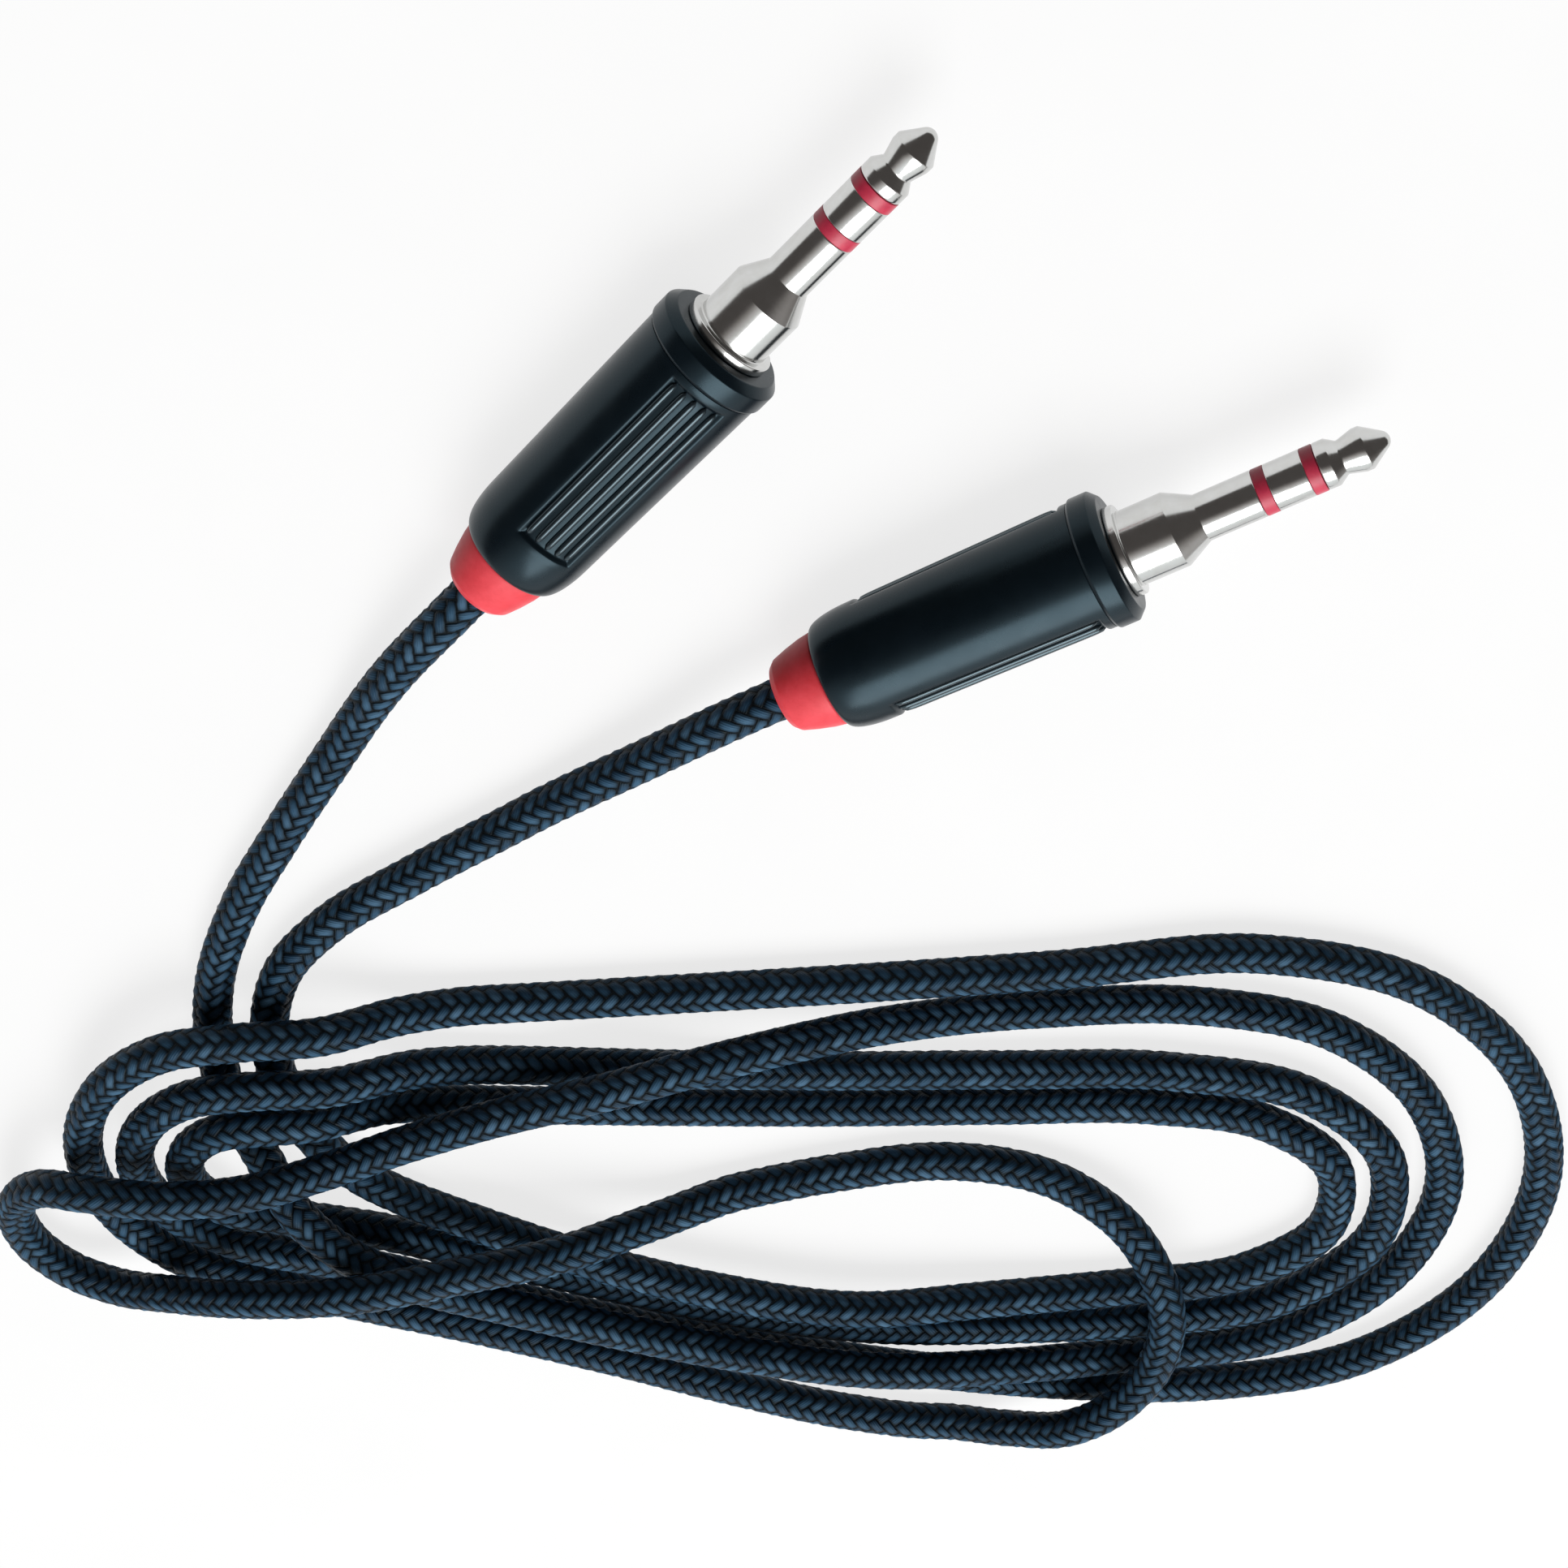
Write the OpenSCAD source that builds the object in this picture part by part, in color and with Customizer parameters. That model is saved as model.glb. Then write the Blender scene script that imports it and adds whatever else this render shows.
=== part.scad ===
// Stereo audio cable: a braided cord in a loose pile of loops, with a straight moulded
// jack plug on each end. Millimetres, +Z up, everything lying on the plane z = 0.
// Each plug is drawn along its own axis, from the face where the cord goes in (0) to its tip.

/* [Shaft] */
// Diameter of the plug's contact shaft
shaft_d = 3.5; // [3.4:0.05:3.6]
// Length of the shaft, from the cone to the tip
shaft_len = 14; // [13.5:0.1:15.5]
// Length of the tip contact that shows
tip_len = 5.15; // [4.9:0.05:5.4]
// Length of the tip contact's full-width land, behind its neck
tip_land = 0.9; // [0.7:0.05:1.1]
// Diameter of the neck that the socket's spring drops into
neck_d = 2.5; // [2.3:0.05:2.8]
// Diameter of the bulb in front of the neck
bulb_d = 3.2; // [3:0.05:3.3]
// Diameter of the blunt end of the tip
nose_d = 0.9; // [0.7:0.05:1.1]
// Length of the ring contact
ring_len = 2.7; // [2.4:0.05:2.9]
// Width of each insulating band between two contacts
band_len = 0.9; // [0.7:0.05:1]

/* [Collar] */
// Diameter of the collar between barrel and shaft
collar_d = 5.6; // [5:0.1:6.2]
// Length of the collar
collar_len = 3.5; // [2.5:0.1:4.5]
// Diameter of the flange that seats on the barrel's front face
flange_d = 6.8; // [6.4:0.1:7.6]
// Thickness of the flange
flange_len = 0.7; // [0.5:0.05:1]
// Length of the cone that leads down to the shaft
cone_len = 2; // [1.5:0.1:2.5]
// Diameter of the shank that is held in the barrel's front wall
shank_d = 5.8; // [5.6:0.1:6.2]

/* [Barrel] */
// Length of the barrel
barrel_len = 23; // [21:0.5:27]
// Diameter of the barrel where its shoulder ends
barrel_rear_d = 9.1; // [8.8:0.1:9.3]
// Diameter of the barrel just behind its lip
barrel_front_d = 9.5; // [9.4:0.1:9.7]
// Diameter of the barrel's rear face
barrel_end_d = 7.2; // [6.8:0.1:7.8]
// Length of the rounded shoulder
shoulder_len = 3.2; // [2.5:0.1:4]
// Diameter of the raised lip at the front
lip_d = 9.9; // [9.8:0.1:10.5]
// Length of the lip
lip_len = 2.2; // [1.8:0.1:3]
// Chamfer on the front edge of the lip
lip_front_chamfer = 0.6; // [0.3:0.05:0.8]
// Chamfer on the rear edge of the lip
lip_rear_chamfer = 0.25; // [0.1:0.05:0.3]
// Thickness of the barrel's front wall
front_wall = 1.8; // [1.5:0.1:2.2]
// Number of grooves in each of the two grip panels
groove_count = 6; // [4:1:8]
// Width of a groove
groove_w = 0.4; // [0.3:0.05:0.5]
// Depth of a groove
groove_depth = 0.3; // [0.2:0.05:0.4]
// Distance between grooves round the barrel
groove_pitch = 0.85; // [0.7:0.05:1]
// Length of the grooves
groove_len = 15.6; // [12:0.2:16]

/* [Strain relief] */
// Length of the coloured ring behind the barrel
relief_len = 4; // [3:0.1:6]
// Diameter of the ring where it meets the barrel
relief_front_d = 6.6; // [6.2:0.1:6.8]
// Diameter of the ring at its rear chamfer
relief_rear_d = 5.8; // [5.4:0.1:6.2]
// Chamfer round the rear face
relief_chamfer = 0.5; // [0.3:0.05:0.7]
// Diameter of the spigot inside the barrel
spigot_d = 5; // [4.6:0.1:5.4]
// Length of the spigot
spigot_len = 3; // [2:0.1:4]

/* [Inside the plug] */
// Diameter of the moulded core that fills the barrel
core_d = 6.6; // [6.2:0.1:7]
// Diameter of the wire chamber in the core
chamber_d = 4.9; // [4.7:0.1:5.1]
// Thickness of the core's rear wall, which grips the cord
core_wall = 1.2; // [0.8:0.1:2]
// Diameter of the tip contact's rod
rod_d = 1; // [0.9:0.05:1.1]
// Outer diameter of the insulating tube round the rod
tip_tube_d = 1.5; // [1.4:0.02:1.6]
// Outer diameter of the ring contact's tube
ring_tube_d = 2; // [1.9:0.02:2.1]
// Outer diameter of the insulating tube round the ring contact
ring_sleeve_d = 2.6; // [2.5:0.02:2.7]
// Step by which each inner piece stands out behind the one round it
stage = 1.5; // [1.3:0.1:1.8]
// Thickness of the insulating bush behind the shank
bush_len = 1; // [0.8:0.1:1.2]
// Wall of the ground clamp
clamp_wall = 0.4; // [0.3:0.05:0.45]
// Width of the ground clamp's strip
clamp_strip_w = 1.8; // [1.4:0.1:2.2]
// Length of the part of the clamp that is crimped round the cord
crimp_len = 2.2; // [1.6:0.1:2.6]
// Width of the slot in the crimp
crimp_slot = 0.8; // [0.5:0.1:1.2]
// Length of cord inside the plug
cord_end_len = 11.4; // [11:0.1:13]
// Diameter of an insulated conductor
conductor_d = 0.6; // [0.5:0.05:0.65]
// Length over which a conductor lies on its contact
lap_len = 1.2; // [0.8:0.1:1.25]
// Diameter of the twisted shield wires
shield_tail_d = 0.7; // [0.6:0.05:0.75]
// Length of the shield wires along the clamp
shield_tail_len = 5; // [3:0.5:7]
// Radial clearance between pieces that fit in each other
fit_gap = 0.02; // [0.01:0.01:0.04]

/* [Cord] */
// Diameter of the cord over its braid
cord_d = 3.2; // [3:0.05:3.2]
// Longest distance between two rings of the coil's tube
coil_step = 8; // [6:1:14]
// Longest distance between two rings of a lead's tube
lead_step = 7; // [4:1:9]

/* [Hidden] */
$fn = 64;

// Places along the plug's axis, from the rear face of the strain relief
barrel_back = relief_len;
spigot_front = relief_len + spigot_len;
body_back = barrel_back + shoulder_len;
barrel_front = barrel_back + barrel_len;
lip_back = barrel_front - lip_len;
shank_back = barrel_front - front_wall;
shaft_back = barrel_front + flange_len + collar_len + cone_len;
tip_front = shaft_back + shaft_len;
tip_back = tip_front - tip_len;
ring_front = tip_back - band_len;
ring_back = ring_front - ring_len;
sleeve_front = ring_back - band_len;
bush_back = shank_back - bush_len;
ring_sleeve_back = shank_back - stage;
ring_tube_back = shank_back - 2 * stage;
tip_tube_back = shank_back - 3 * stage;
rod_back = shank_back - 4 * stage;
chamber_back = spigot_front + core_wall;
crimp_back = chamber_back;
groove_front = lip_back - 0.8;
clamp_inner_r = cord_d / 2 + fit_gap;
clamp_outer_r = clamp_inner_r + clamp_wall;

// The barrel lies on its lip and on the end of its shoulder, so its axis rises to the tip
rest_front = lip_back + lip_rear_chamfer;
lie_angle = asin((lip_d - barrel_rear_d) / 2 / norm([rest_front - body_back,
    (lip_d - barrel_rear_d) / 2]));
lie_height = lip_d / 2 * cos(lie_angle) - rest_front * sin(lie_angle);

// Where each plug lies: the point where the cord goes in, the way its tip points, its roll
plug_a_at = [-31, -11.8, lie_height];
plug_a_heading = 47.8;
plug_a_roll = -25;
plug_b_at = [-9, -21.1, lie_height];
plug_b_heading = 27.9;
plug_b_roll = 75;

// The way a plug points, as a unit vector
function pointing(heading) = [
    cos(heading) * cos(lie_angle), sin(heading) * cos(lie_angle), sin(lie_angle)];

// Height of the cord's centre where it lies on the surface
low = cord_d / 2;

// Points of a turn on an ellipse, from one angle and height to another in even steps
function turn(cx, cy, rx, ry, from, to, steps, from_z, to_z) = [
    for (k = [0 : steps])
    let(f = k / steps, a = from + (to - from) * f)
    [cx + rx * cos(a), cy + ry * sin(a), from_z + (to_z - from_z) * f * f * (3 - 2 * f)]];

// Points of a turn on an ellipse at given pairs of angle and height
function turn_at(cx, cy, rx, ry, marks) = [
    for (m = marks) [cx + rx * cos(m[0]), cy + ry * sin(m[0]), m[1]]];

// The cord's route from plug a to plug b. Between turns its points are chosen by hand.
lead_a_points = [
    plug_a_at, plug_a_at - cord_d * pointing(plug_a_heading),
    [-37.9, -20.1, 3], [-42.8, -27.8, low], [-48, -36, low], [-52, -43, low]];
entry_a = [
    [-54.6, -50, low], [-55.4, -56.5, low], [-54.8, -62.5, low], [-52.8, -68, 2.2],
    [-49.6, -73.2, 4.7], [-45, -77.6, 5.4], [-40, -80.8, 5], [-33, -83.4, 4.8],
    [-23, -86.5, 4.8], [-13, -89.2, 4.8], [-1, -91.3, 4.8], [11, -92.2, 3.4]];
second_turn = turn(24, -72.5, 22.8, 19.8, -90, 90, 6, low, low);
slanting_run = [
    [11, -53.1, low], [-1, -54.4, 2.1], [-13, -56, 4.2], [-23, -58.4, 5.5],
    [-34, -61.8, 5.6], [-40, -64, 5.7], [-46, -66.4, 6], [-53, -68, 7.2], [-60, -68.2, 7.9]];
far_turn = turn_at(-66.8, -75.1, 7.2, 7.1, [
    [90, 7.2], [120, 5.6], [150, 4], [180, 2.9], [210, 2.4], [240, 2.6], [270, 3.5]]);
crossing_run = [
    [-61, -81.2, 5.6], [-54, -79.4, 8], [-45, -77.8, 9.1], [-36, -76.6, 8],
    [-28, -76.3, 5.9], [-20, -75.2, 3], [-12, -72.8, low], [-5, -71, low]];
small_turn = turn_at(5, -85.4, 19, 15.8, [
    [90, low], [60, 2.05], [35, 3.4], [8, 5.4], [-16, 5.7], [-36, 5.8], [-54, 5.2], [-72, 3.1],
    [-90, low]]);
front_run = [
    [-3, -100, low], [-13, -97, low], [-25, -92.7, low], [-37, -88.8, low],
    [-47, -85.9, low], [-54.4, -83.5, low]];
outer_left_turn = turn(-53, -68.3, 14.3, 14.9, 235, 90, 6, low, 5.5);
back_run = [
    [-46, -53.2, 4.9], [-40, -53, 2.6], [-33, -52.6, low], [-19, -51.6, low],
    [-3, -50.4, low], [13, -49, low]];
outer_turn = turn(29, -71.8, 26, 24.4, 90, -90, 6, low, low);
outer_run = [
    [17, -96.15, low], [5, -94.8, low], [-7, -92.6, low], [-19, -89.9, low], [-29, -87, low],
    [-39, -83.8, low], [-47, -81.3, low]];
middle_left_turn = turn(-52.6, -68.9, 10.5, 10.4, 245, 90, 6, low, 5.5);
middle_run = [
    [-46, -58.6, 4.9], [-39, -58.8, 2.3], [-31, -59, low], [-19, -59.4, low],
    [-5, -59.6, low], [9, -59.5, low]];
third_turn = turn(23, -73.9, 19.6, 14.2, 90, -90, 5, low, low);
third_run = [
    [11, -89, low], [-1, -89, low], [-13, -87.1, low], [-25, -83.6, low], [-35, -80.4, low],
    [-43, -77.8, low]];
inner_left_turn = turn(-52.1, -69, 6.8, 6.8, 270, 90, 6, low, 5.7);
inner_run = [
    [-47.6, -62.4, 4.9], [-42, -62.9, 2.2], [-35, -63.2, low], [-21, -63.5, low],
    [-5, -63.6, low], [9, -63.4, low]];
inner_turn = turn(21.4, -73.8, 16.8, 10.4, 90, -90, 5, low, low);
entry_b = [
    [9, -85, 2.4], [-3, -85.3, 3.35], [-15, -83, 3.35], [-27, -79.2, 3], [-35, -76.5, 2],
    [-41, -73.8, low], [-45.2, -70.8, low], [-48.6, -66.2, low], [-50.5, -60.6, low],
    [-50.7, -54.4, low]];
lead_b_points = [
    [-49, -49, low], [-45, -44.4, low], [-38, -39.6, low], [-29, -34, low],
    [-19.8, -28, 2.8], plug_b_at - cord_d * pointing(plug_b_heading), plug_b_at];
coil_points = concat(
    entry_a, second_turn, slanting_run, far_turn, crossing_run, small_turn, front_run,
    outer_left_turn, back_run, outer_turn, outer_run, middle_left_turn, middle_run,
    third_turn, third_run, inner_left_turn, inner_run, inner_turn, entry_b);
route = concat(lead_a_points, coil_points, lead_b_points);
coil_start = len(lead_a_points) - 1;
coil_end = len(lead_a_points) + len(coil_points);
route_end = len(route) - 1;

function unit(v) = v / norm(v);

// Direction of the smooth curve through the route at point i, level on the surface
function slope(i) =
    i == 0 ? unit(route[1] - route[0])
    : i == route_end ? unit(route[i] - route[i - 1])
    : let(
        back = route[i] - route[i - 1],
        ahead = route[i + 1] - route[i],
        n = norm(back),
        m = norm(ahead),
        rise = route[i].z > low ? 1 : 0,
        middle = (back * m / n + ahead * n / m) / (n + m))
      [middle.x, middle.y, middle.z * rise];
slopes = [for (i = [0 : route_end]) slope(i)];

// Point of the smooth curve, a share f of the way from route point i to the next
function on_curve(i, f) =
    let(
        span = norm(route[i + 1] - route[i]),
        ease = f * f * (3 - 2 * f))
    route[i] * (1 - ease) + route[i + 1] * ease
    + span * f * (1 - f) * ((1 - f) * slopes[i] - f * slopes[i + 1]);

// Direction of the smooth curve there
function direction(i, f) =
    f == 0 ? unit(slopes[i]) : unit(on_curve(i, f + 0.02) - on_curve(i, f - 0.02));

// Places for rings from one route point to another: pairs of a point and a direction
function stretch(first, last, step) = [
    for (i = [first : last - 1])
        let(parts = ceil(norm(route[i + 1] - route[i]) / step))
        for (k = [0 : parts - 1]) [on_curve(i, k / parts), direction(i, k / parts)],
    [route[last], unit(slopes[last])]];

// Corners of one ring of a tube, with one corner straight down
function ring_corners(place, sides) =
    let(
        side = unit(cross([0, 0, 1], place[1])),
        up = cross(place[1], side))
    [for (k = [0 : sides - 1])
        place[0] + cord_d / 2 * (cos(360 * k / sides) * -up + sin(360 * k / sides) * side)];

// One closed tube through rings at the given places
module tube(places, sides) {
    last = len(places) - 1;
    corners = [for (place = places) each ring_corners(place, sides)];
    walls = [
        for (j = [0 : last - 1])
            for (k = [0 : sides - 1])
                let(a = j * sides + k, b = j * sides + (k + 1) % sides)
                each [[a, b, b + sides], [a, b + sides, a + sides]]];
    back_cap = [for (k = [1 : sides - 2]) [0, k + 1, k]];
    tip = last * sides;
    front_cap = [for (k = [1 : sides - 2]) [tip, tip + k, tip + k + 1]];
    polyhedron(points = corners, faces = concat(walls, back_cap, front_cap));
}

// Points every millimetre or so along straight lines between the coil's rings
function measured_points(places) = [
    for (j = [0 : len(places) - 2])
        let(
            a = places[j][0],
            b = places[j + 1][0],
            parts = ceil(norm(b - a)))
        for (k = [0 : parts - 1]) a + (b - a) * k / parts];

// Least distance between the walls of stretches that are over five diameters apart along it
function least_gap(points) =
    let(skip = ceil(5 * cord_d))
    min([for (i = [0 : len(points) - skip - 1])
        min([for (j = [i + skip : len(points) - 1]) norm(points[i] - points[j])])]) - cord_d;

// A solid turned round the plug's axis from pairs of radius and place along the axis
module turned(outline) {
    rotate_extrude() polygon(outline);
}

// A tube with square ends
module sleeve(inner_d, outer_d, back, front) {
    translate([0, 0, back])
        difference() {
            cylinder(d = outer_d, h = front - back);
            translate([0, 0, -1]) cylinder(d = inner_d, h = front - back + 2);
        }
}

// The barrel's outer wall at a place along its body
function body_r(s) =
    (barrel_rear_d + (barrel_front_d - barrel_rear_d) * (s - body_back) / (lip_back - body_back)) / 2;

// Moulded shell with a rounded shoulder, a raised lip and two grooved grip panels
module barrel() {
    spigot_r = spigot_d / 2 + fit_gap;
    core_r = core_d / 2 + fit_gap;
    shank_r = shank_d / 2 + fit_gap;
    shoulder = [
        for (a = [0 : 15 : 90])
        [barrel_end_d / 2 + (barrel_rear_d - barrel_end_d) / 2 * sin(a),
            body_back - shoulder_len * cos(a)]];
    outline = concat(
        [[spigot_r, barrel_back]],
        shoulder,
        [
            [barrel_front_d / 2, lip_back],
            [lip_d / 2 - lip_rear_chamfer, lip_back],
            [lip_d / 2, lip_back + lip_rear_chamfer],
            [lip_d / 2, barrel_front - lip_front_chamfer],
            [lip_d / 2 - lip_front_chamfer, barrel_front],
            [shank_r, barrel_front],
            [shank_r, shank_back],
            [core_r, shank_back],
            [core_r, spigot_front],
            [spigot_r, spigot_front]
        ]);
    color([0.05, 0.055, 0.065])
        difference() {
            turned(outline);
            for (panel = [0, 180], k = [0 : groove_count - 1])
                grip_groove(panel + 180
                    + (k - (groove_count - 1) / 2) * groove_pitch / (barrel_rear_d / 2) * 57.3);
        }
}

// The cutter for one groove, sloped as the barrel's wall is
module grip_groove(angle) {
    groove_back = groove_front - groove_len;
    wall_angle = atan((barrel_front_d - barrel_rear_d) / 2 / (lip_back - body_back));
    rotate([0, 0, angle])
        translate([body_r(groove_back), 0, groove_back])
        rotate([0, wall_angle, 0])
        translate([-groove_depth, -groove_w / 2, 0])
        cube([groove_depth * 3, groove_w, groove_len]);
}

// Soft coloured ring that closes the barrel behind and holds the cord
module strain_relief() {
    bore_r = cord_d / 2 + fit_gap;
    color([0.85, 0.16, 0.17])
        turned([
            [bore_r, 0],
            [relief_rear_d / 2 - relief_chamfer, 0],
            [relief_rear_d / 2, relief_chamfer],
            [relief_front_d / 2, relief_len],
            [spigot_d / 2, relief_len],
            [spigot_d / 2, spigot_front],
            [bore_r, spigot_front]
        ]);
}

// Ground contact: shank, flange, collar, cone and the rear part of the shaft in one piece
module sleeve_contact() {
    bore_r = ring_sleeve_d / 2 + fit_gap;
    flange_front = barrel_front + flange_len;
    collar_front = flange_front + collar_len;
    edge = 0.15;
    color([0.78, 0.78, 0.76])
        turned([
            [bore_r, shank_back],
            [shank_d / 2, shank_back],
            [shank_d / 2, barrel_front],
            [flange_d / 2, barrel_front],
            [flange_d / 2, flange_front - edge],
            [flange_d / 2 - edge, flange_front],
            [collar_d / 2, flange_front],
            [collar_d / 2, collar_front],
            [shaft_d / 2, shaft_back],
            [shaft_d / 2, sleeve_front],
            [bore_r, sleeve_front]
        ]);
}

// Insulator with a tube along the shaft and a band that shows between two contacts
module insulator(inner_d, outer_d, back, band_back) {
    inner_r = inner_d / 2 + fit_gap;
    color([0.72, 0.1, 0.16])
        turned([
            [inner_r, back],
            [outer_d / 2, back],
            [outer_d / 2, band_back],
            [shaft_d / 2, band_back],
            [shaft_d / 2, band_back + band_len],
            [inner_r, band_back + band_len]
        ]);
}

module ring_insulator() {
    insulator(ring_tube_d, ring_sleeve_d, ring_sleeve_back, sleeve_front);
}

module tip_insulator() {
    insulator(rod_d, tip_tube_d, tip_tube_back, ring_front);
}

// Ring contact: a band that shows, on a tube that runs back inside the plug
module ring_contact() {
    bore_r = tip_tube_d / 2 + fit_gap;
    color([0.78, 0.78, 0.76])
        turned([
            [bore_r, ring_tube_back],
            [ring_tube_d / 2, ring_tube_back],
            [ring_tube_d / 2, ring_back],
            [shaft_d / 2, ring_back],
            [shaft_d / 2, ring_front],
            [bore_r, ring_front]
        ]);
}

// Tip contact: land, neck, bulb and cone, on a rod that runs back inside the plug
module tip_contact() {
    neck_s = tip_back + tip_land + 0.75;
    bulb_s = neck_s + 1.25;
    bulb_front = bulb_s + 0.5;
    nose_r = nose_d / 2;
    nose = [for (a = [0 : 22.5 : 90]) [nose_r * cos(a), tip_front - nose_r * (1 - sin(a))]];
    color([0.78, 0.78, 0.76])
        turned(concat(
            [
                [0, rod_back],
                [rod_d / 2, rod_back],
                [rod_d / 2, tip_back],
                [shaft_d / 2, tip_back],
                [shaft_d / 2, tip_back + tip_land],
                [neck_d / 2, neck_s],
                [bulb_d / 2, bulb_s],
                [bulb_d / 2, bulb_front]
            ],
            nose));
}

// Moulded core behind the contacts, with a chamber for the wires
module inner_core() {
    bore_r = cord_d / 2 + fit_gap;
    color([0.9, 0.9, 0.87])
        turned([
            [bore_r, spigot_front],
            [core_d / 2, spigot_front],
            [core_d / 2, shank_back],
            [chamber_d / 2, shank_back],
            [chamber_d / 2, chamber_back],
            [bore_r, chamber_back]
        ]);
}

// The clamp's strip, and with a gap the slot that it passes through
module clamp_strip(gap, back, front) {
    translate([0, 0, back])
        intersection() {
            difference() {
                cylinder(r = clamp_outer_r + gap, h = front - back);
                translate([0, 0, -1]) cylinder(r = clamp_inner_r - gap, h = front - back + 2);
            }
            translate([-chamber_d, -clamp_strip_w / 2 - gap, 0])
                cube([chamber_d, clamp_strip_w + 2 * gap, front - back]);
        }
}

// Insulating bush between the shank and the wires, notched for the clamp's strip
module rear_bush() {
    color([0.85, 0.83, 0.76])
        difference() {
            sleeve(ring_sleeve_d + 2 * fit_gap, chamber_d - 2 * fit_gap, bush_back, shank_back);
            clamp_strip(fit_gap, bush_back - 1, shank_back + 1);
        }
}

// Ground clamp: a split ring crimped round the cord, with a strip to the shank
module ground_clamp() {
    color([0.76, 0.66, 0.4]) {
        difference() {
            sleeve(2 * clamp_inner_r, 2 * clamp_outer_r, crimp_back, crimp_back + crimp_len);
            translate([0, -crimp_slot / 2, crimp_back - 1])
                cube([chamber_d, crimp_slot, crimp_len + 2]);
        }
        clamp_strip(0, crimp_back, shank_back);
    }
}

// The end of the cord inside the plug
module cord_end() {
    color([0.12, 0.15, 0.2]) cylinder(d = cord_d, h = cord_end_len);
}

// A straight wire beside the plug's axis
module wire(diameter, offset_r, angle, back, front) {
    rotate([0, 0, angle])
        translate([offset_r, 0, back])
        cylinder(d = diameter, h = front - back);
}

module left_conductor() {
    color([0.9, 0.9, 0.9])
        wire(conductor_d, (rod_d + conductor_d) / 2, -60, cord_end_len, rod_back + lap_len);
}

module right_conductor() {
    color([0.8, 0.15, 0.12])
        wire(conductor_d, (ring_tube_d + conductor_d) / 2, 60, cord_end_len,
            ring_tube_back + lap_len);
}

// Shield wires, twisted together and laid under the clamp's strip
module shield_tail() {
    color([0.72, 0.45, 0.25])
        wire(shield_tail_d, clamp_inner_r - shield_tail_d / 2, 180, cord_end_len,
            cord_end_len + shield_tail_len);
}

// Puts a piece of a plug where the plug lies
module placed(at, heading, roll) {
    translate(at)
        rotate([0, 90 - lie_angle, heading])
        rotate([0, 0, roll])
        children();
}

module at_a() {
    placed(plug_a_at, plug_a_heading, plug_a_roll) children();
}

module at_b() {
    placed(plug_b_at, plug_b_heading, plug_b_roll) children();
}

// The free stretch of cord from plug a to the pile
module cord_lead_a() {
    color([0.12, 0.15, 0.2]) tube(stretch(0, coil_start, lead_step), 8);
}

// The pile of loops, as one unbroken tube
module cord_coil() {
    places = stretch(coil_start, coil_end, coil_step);
    echo(rings = len(places), least_gap_mm = least_gap(measured_points(places)));
    color([0.12, 0.15, 0.2]) tube(places, 6);
}

// The free stretch of cord from the pile to plug b
module cord_lead_b() {
    color([0.12, 0.15, 0.2]) tube(stretch(coil_end, route_end, lead_step), 8);
}

at_a() barrel();  // barrel_a
at_a() strain_relief();  // strain_relief_a
at_a() sleeve_contact();  // sleeve_contact_a
at_a() ring_insulator();  // ring_insulator_a
at_a() ring_contact();  // ring_contact_a
at_a() tip_insulator();  // tip_insulator_a
at_a() tip_contact();  // tip_contact_a
at_a() inner_core();  // inner_core_a
at_a() rear_bush();  // rear_bush_a
at_a() ground_clamp();  // ground_clamp_a
at_a() cord_end();  // cord_end_a
at_a() left_conductor();  // left_conductor_a
at_a() right_conductor();  // right_conductor_a
at_a() shield_tail();  // shield_tail_a
at_b() barrel();  // barrel_b
at_b() strain_relief();  // strain_relief_b
at_b() sleeve_contact();  // sleeve_contact_b
at_b() ring_insulator();  // ring_insulator_b
at_b() ring_contact();  // ring_contact_b
at_b() tip_insulator();  // tip_insulator_b
at_b() tip_contact();  // tip_contact_b
at_b() inner_core();  // inner_core_b
at_b() rear_bush();  // rear_bush_b
at_b() ground_clamp();  // ground_clamp_b
at_b() cord_end();  // cord_end_b
at_b() left_conductor();  // left_conductor_b
at_b() right_conductor();  // right_conductor_b
at_b() shield_tail();  // shield_tail_b
cord_lead_a();
cord_coil();
cord_lead_b();
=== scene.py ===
"""Dresses the stereo audio cable: a braided cord in a loose pile of loops, with a straight
moulded jack plug on each end. Metres, +Z up, everything lying on the plane z = 0."""
import math

import bmesh
import bpy
from mathutils import Matrix, Vector


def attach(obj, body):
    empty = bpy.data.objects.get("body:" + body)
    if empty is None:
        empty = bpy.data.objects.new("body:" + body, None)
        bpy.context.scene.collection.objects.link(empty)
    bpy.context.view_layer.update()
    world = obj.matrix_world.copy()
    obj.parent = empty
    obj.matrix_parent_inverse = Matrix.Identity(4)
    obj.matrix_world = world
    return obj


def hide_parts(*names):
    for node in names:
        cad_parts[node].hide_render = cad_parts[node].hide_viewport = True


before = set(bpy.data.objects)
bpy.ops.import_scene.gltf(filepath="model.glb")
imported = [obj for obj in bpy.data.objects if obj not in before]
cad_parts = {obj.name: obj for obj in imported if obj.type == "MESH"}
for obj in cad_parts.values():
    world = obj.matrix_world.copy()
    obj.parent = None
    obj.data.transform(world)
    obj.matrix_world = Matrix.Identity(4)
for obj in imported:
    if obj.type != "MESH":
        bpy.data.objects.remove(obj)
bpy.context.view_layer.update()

scene = bpy.context.scene


# Camera. It looks down on the cable from behind the plugs, so that they are at the top of
# its picture and the pile of loops fills the lower half.
camera = bpy.data.objects.new("camera", bpy.data.cameras.new("camera"))
scene.collection.objects.link(camera)
scene.camera = camera
camera.location = (-0.009, 0.09419, 0.18021)
camera.rotation_euler = (math.radians(-35), 0, 0)
camera.data.sensor_width = 36
camera.data.lens = 65.6
camera.data.clip_start = 0.01


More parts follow.
